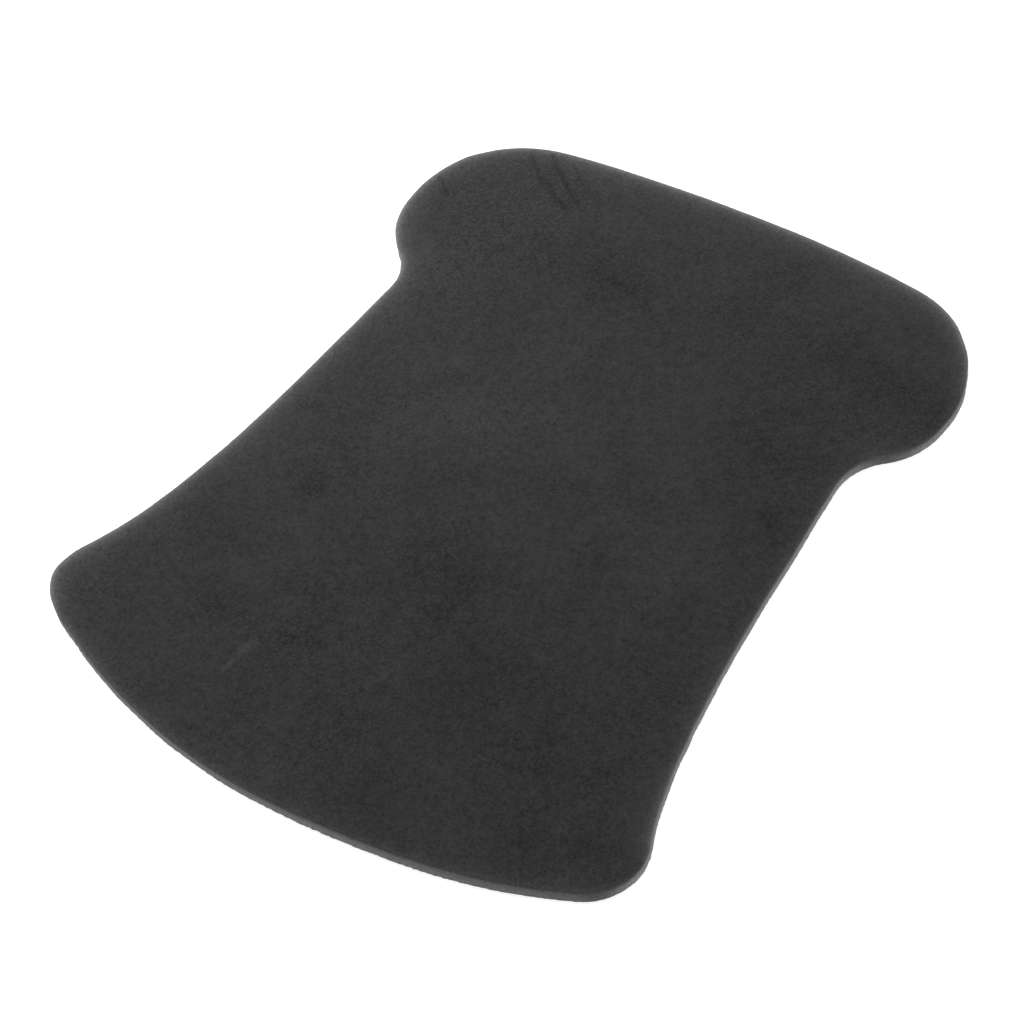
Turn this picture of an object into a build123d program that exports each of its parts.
from build123d import *
import os
from math import asin, atan2, cos, degrees, hypot, radians, sin, sqrt

# Stick-on foam kneeling pad for a kneeboard deck.
# Row frame: millimetres, +Z up, +Y towards the lobed rear (foot) end, -Y towards the flared front (knee) end.
# Origin: centre of the underside, on the bottom face of the release liner.

# ---------------------------------------------------------------- overall sizes
pad_length = 550.0          # front apex to rear apex, along Y
pad_width = 440.0           # across the two flared front corners
lobe_width = 425.0          # across the two rear lobes
foam_thickness = 10.0       # closed-cell EVA sheet
film_thickness = 0.16       # double-coated pressure-sensitive film
liner_thickness = 0.14      # siliconised release paper
liner_slit = 0.4            # kiss-cut slit between the two halves of the liner
slit_y = 0.0                # where the slit crosses the pad
top_edge_round = 1.2        # the sheet's top edge is slightly pulled over by the die

# ---------------------------------------------------------------- outline radii
front_arc_radius = 492.0    # knee end, one long arc across the pad
front_corner_radius = 38.0
side_near_radius = 253.0    # concave, straight behind the front corner
side_near_sweep = 13.0      # degrees
side_long_radius = 936.0    # concave, along the waist
side_long_sweep = 7.25      # degrees
flank_lean = 4.1            # degrees the straight flank leans in towards the rear
neck_radius = 41.5          # concave, in front of each lobe
lobe_lower_radius = 55.0
lobe_radius = 84.0
lobe_sweep = 99.0           # degrees
rear_arc_radius = 1192.0    # foot end, one long flat arc between the lobes

# ---------------------------------------------------------------- outline nodes
# The right-hand half of the outline is a chain of tangent arcs with one straight flank.
# Headings run from +X, anticlockwise, in degrees; "out" is the outward normal of a heading.
def out(heading):
    return sin(radians(heading)), -cos(radians(heading))


front_sweep = degrees(asin((pad_width / 2 - front_corner_radius) / (front_arc_radius - front_corner_radius)))
corner_sweep = 90 + flank_lean + side_near_sweep + side_long_sweep - front_sweep
h1 = front_sweep
h2 = h1 + corner_sweep
h3 = h2 - side_near_sweep
h4 = h3 - side_long_sweep

c_front = (0.0, -pad_length / 2 + front_arc_radius)
c_corner = tuple(c + (front_arc_radius - front_corner_radius) * o for c, o in zip(c_front, out(h1)))
p_corner_end = tuple(c + front_corner_radius * o for c, o in zip(c_corner, out(h2)))
c_near = tuple(p + side_near_radius * o for p, o in zip(p_corner_end, out(h2)))
p_near_end = tuple(c - side_near_radius * o for c, o in zip(c_near, out(h3)))
c_long = tuple(p + side_long_radius * o for p, o in zip(p_near_end, out(h3)))
p_long_end = tuple(c - side_long_radius * o for c, o in zip(c_long, out(h4)))

rear_sweep = degrees(asin((lobe_width / 2 - lobe_radius) / (rear_arc_radius - lobe_radius)))
c_rear = (0.0, pad_length / 2 - rear_arc_radius)
c_lobe = (
    (rear_arc_radius - lobe_radius) * sin(radians(rear_sweep)),
    c_rear[1] + (rear_arc_radius - lobe_radius) * cos(radians(rear_sweep)),
)
lobe_start = 90 - rear_sweep - lobe_sweep       # polar angle where the lobe meets its lower arc
c_lower = tuple(
    c + (lobe_radius - lobe_lower_radius) * t
    for c, t in zip(c_lobe, (cos(radians(lobe_start)), sin(radians(lobe_start))))
)

# The neck arc is tangent to the straight flank and to the lower lobe arc.
flank = (cos(radians(h4)), sin(radians(h4)))
base = tuple(p + neck_radius * o for p, o in zip(p_long_end, out(h4)))
to_base = (base[0] - c_lower[0], base[1] - c_lower[1])
b = to_base[0] * flank[0] + to_base[1] * flank[1]
c = to_base[0] ** 2 + to_base[1] ** 2 - (neck_radius + lobe_lower_radius) ** 2
flank_length = -b - sqrt(b * b - c)
c_neck = tuple(q + flank_length * f for q, f in zip(base, flank))
p_flank_end = tuple(p + flank_length * f for p, f in zip(p_long_end, flank))
neck_dx, neck_dy = c_neck[0] - c_lower[0], c_neck[1] - c_lower[1]
neck_polar = degrees(atan2(neck_dy, neck_dx))   # from the lower lobe centre to the neck centre
neck_start = degrees(atan2(p_flank_end[1] - c_neck[1], p_flank_end[0] - c_neck[0]))
neck_end = neck_polar + 180
neck_sweep = (neck_start - neck_end) % 360

# ---------------------------------------------------------------- stack heights
z_liner_top = liner_thickness
z_film_top = z_liner_top + film_thickness
z_foam_top = z_film_top + foam_thickness


# The outline is drawn once, as a face on the ground plane, and each layer is
# extruded from it at its own height.
with BuildSketch() as outline:
    with BuildLine() as edge:
        CenterArc(c_front, front_arc_radius, -90, front_sweep)
        CenterArc(c_corner, front_corner_radius, h1 - 90, corner_sweep)
        CenterArc(c_near, side_near_radius, h2 + 90, -side_near_sweep)
        CenterArc(c_long, side_long_radius, h3 + 90, -side_long_sweep)
        Line(p_long_end, p_flank_end)
        CenterArc(c_neck, neck_radius, neck_start, -neck_sweep)
        CenterArc(c_lower, lobe_lower_radius, neck_polar, lobe_start - neck_polar)
        CenterArc(c_lobe, lobe_radius, lobe_start, lobe_sweep)
        CenterArc(c_rear, rear_arc_radius, 90 - rear_sweep, rear_sweep)
        mirror(about=Plane.YZ)
    make_face()

# ---------------------------------------------------------------- foam pad
with BuildPart() as foam_pad:
    with BuildSketch(Plane.XY.offset(z_film_top)):
        add(outline.sketch)
    extrude(amount=foam_thickness)
    top_rim = foam_pad.faces().sort_by(Axis.Z)[-1].edges()
    fillet(top_rim, top_edge_round)
foam_pad.part.label = "foam_pad"

# ---------------------------------------------------------------- adhesive film
with BuildPart() as adhesive_film:
    with BuildSketch(Plane.XY.offset(z_liner_top)):
        add(outline.sketch)
    extrude(amount=film_thickness)
adhesive_film.part.label = "adhesive_film"

# ---------------------------------------------------------------- release liner
# One plain sheet of release paper, kiss-cut across the middle so that
# each half peels from the slit towards its own end.
with BuildPart() as release_liner_front:
    with BuildSketch(Plane.XY):
        add(outline.sketch)
        with Locations((0, slit_y - liner_slit / 2)):
            Rectangle(2 * pad_width, 2 * pad_length, align=(Align.CENTER, Align.MIN), mode=Mode.SUBTRACT)
    extrude(amount=liner_thickness)
release_liner_front.part.label = "release_liner_front"

with BuildPart() as release_liner_rear:
    with BuildSketch(Plane.XY):
        add(outline.sketch)
        with Locations((0, slit_y + liner_slit / 2)):
            Rectangle(2 * pad_width, 2 * pad_length, align=(Align.CENTER, Align.MAX), mode=Mode.SUBTRACT)
    extrude(amount=liner_thickness)
release_liner_rear.part.label = "release_liner_rear"

# ---------------------------------------------------------------- export
os.makedirs("parts", exist_ok=True)
export_step(foam_pad.part, "parts/foam_pad.step")
export_step(adhesive_film.part, "parts/adhesive_film.step")
export_step(release_liner_front.part, "parts/release_liner_front.step")
export_step(release_liner_rear.part, "parts/release_liner_rear.step")
